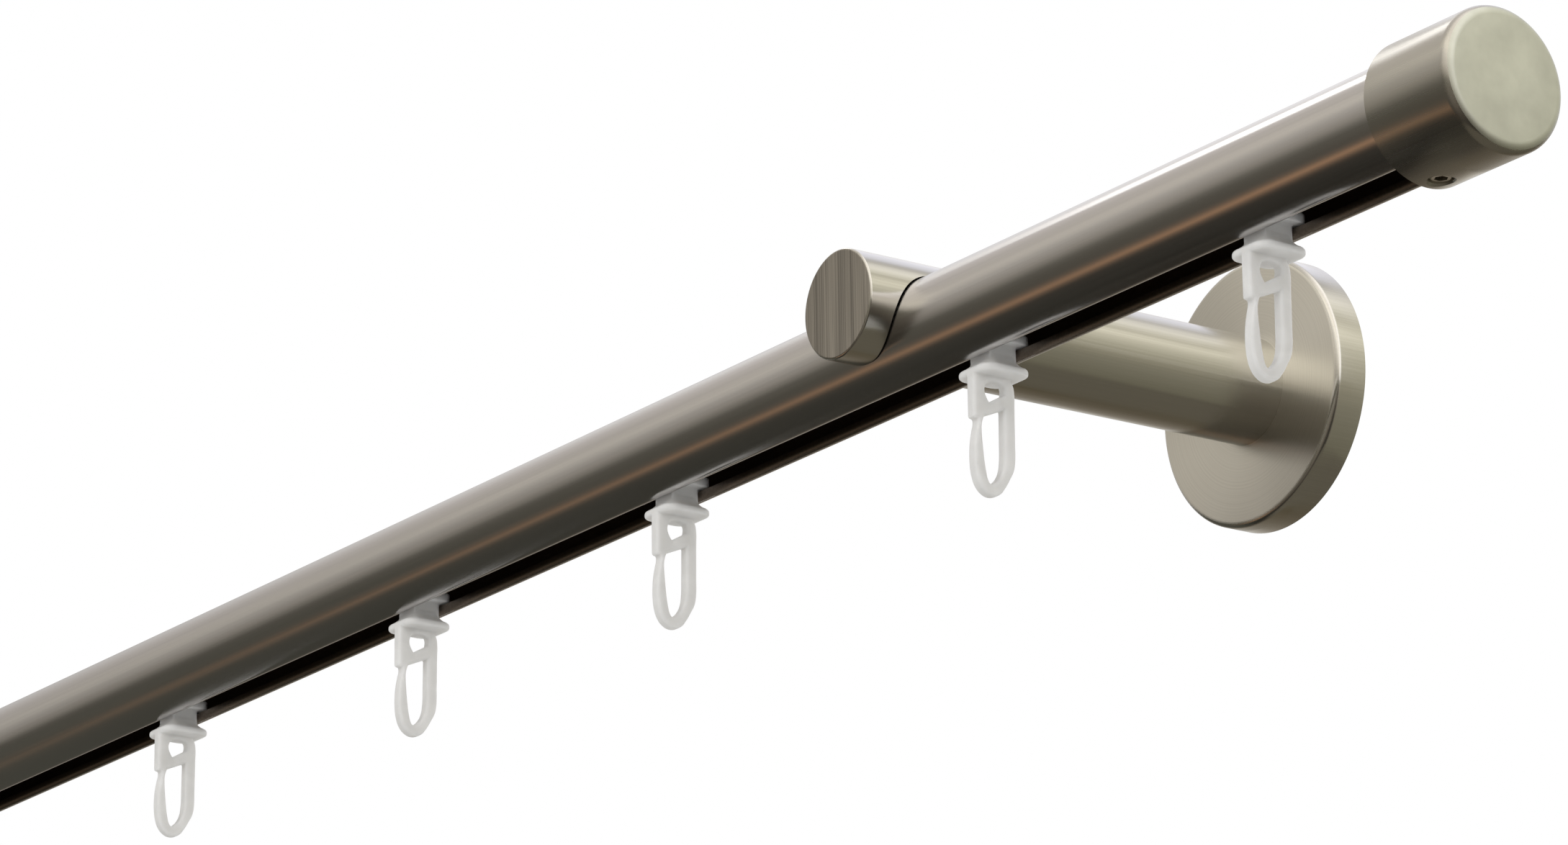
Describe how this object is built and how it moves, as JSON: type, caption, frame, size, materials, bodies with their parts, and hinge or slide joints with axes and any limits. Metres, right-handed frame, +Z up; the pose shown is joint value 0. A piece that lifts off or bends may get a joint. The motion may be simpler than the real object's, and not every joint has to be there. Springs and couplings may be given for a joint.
{
  "type": "curtain track",
  "caption": "Round slotted curtain track with end caps on a single wall bracket with a round rosette, and moulded gliders that slide along the slot.",
  "frame": {"origin": "centre of the rosette's back face, on the wall", "axes": "+X along the track to the end cap on the viewer's right, +Y into the wall, +Z up"},
  "size_m": [0.5258, 0.0964, 0.0626],
  "materials": {
    "track": "satin, lines along the track",
    "cap": "satin side, blasted end face",
    "bracket": "satin, lines along the arm",
    "rosette": "turned",
    "plate": "plain",
    "screw": "dark oxide",
    "stop": "moulded",
    "glider": "milky moulded nylon"
  },
  "bodies": {
    "track": {"track_tube": "track", "end_cap_right": "cap", "end_cap_left": "cap", "end_stop_right": "stop", "end_stop_left": "stop", "cap_screw_right": "screw", "cap_screw_left": "screw", "bracket_arm": "bracket", "rod_screw": "screw", "rosette": "rosette", "wall_plate": "plate", "arm_bolt": "screw", "rosette_screw": "screw"},
    "glider_1": {"glider_1": "glider"},
    "glider_2": {"glider_2": "glider"},
    "glider_3": {"glider_3": "glider"},
    "glider_4": {"glider_4": "glider"},
    "glider_5": {"glider_5": "glider"}
  },
  "joints": [
    {"name": "glider_1_slide", "type": "slide", "parent": "track", "child": "glider_1", "axis": [1, 0, 0], "range_m": [-0.0961, 0.0397]},
    {"name": "glider_2_slide", "type": "slide", "parent": "track", "child": "glider_2", "axis": [1, 0, 0], "range_m": [-0.0397, 0.0375]},
    {"name": "glider_3_slide", "type": "slide", "parent": "track", "child": "glider_3", "axis": [1, 0, 0], "range_m": [-0.0375, 0.041]},
    {"name": "glider_4_slide", "type": "slide", "parent": "track", "child": "glider_4", "axis": [1, 0, 0], "range_m": [-0.041, 0.03]},
    {"name": "glider_5_slide", "type": "slide", "parent": "track", "child": "glider_5", "axis": [1, 0, 0], "range_m": [-0.03, 0.0316]}
  ]
}
